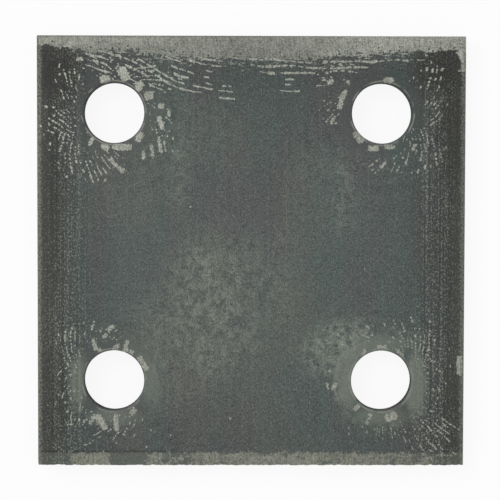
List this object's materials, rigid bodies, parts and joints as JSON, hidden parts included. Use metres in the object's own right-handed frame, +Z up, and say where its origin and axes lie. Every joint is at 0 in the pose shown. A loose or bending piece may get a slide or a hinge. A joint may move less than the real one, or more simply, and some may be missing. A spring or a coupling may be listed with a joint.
{
  "type": "cover plate",
  "caption": "Square flat steel cover plate with sheared ends and a square pattern of punched bolt holes near the corners.",
  "frame": {"origin": "middle of the underside", "axes": "+Z up through the thickness to the face that the punch entered, +Y towards the head end, where the shear pulled the top face down, +X to the right of that"},
  "size_m": [0.1018, 0.102, 0.0063],
  "materials": {
    "mill_scale": "blue-grey mill scale, flaked to bare steel at the sheared ends and round the punched holes"
  },
  "bodies": {
    "root": {"cover_plate": "mill_scale"}
  },
  "joints": []
}
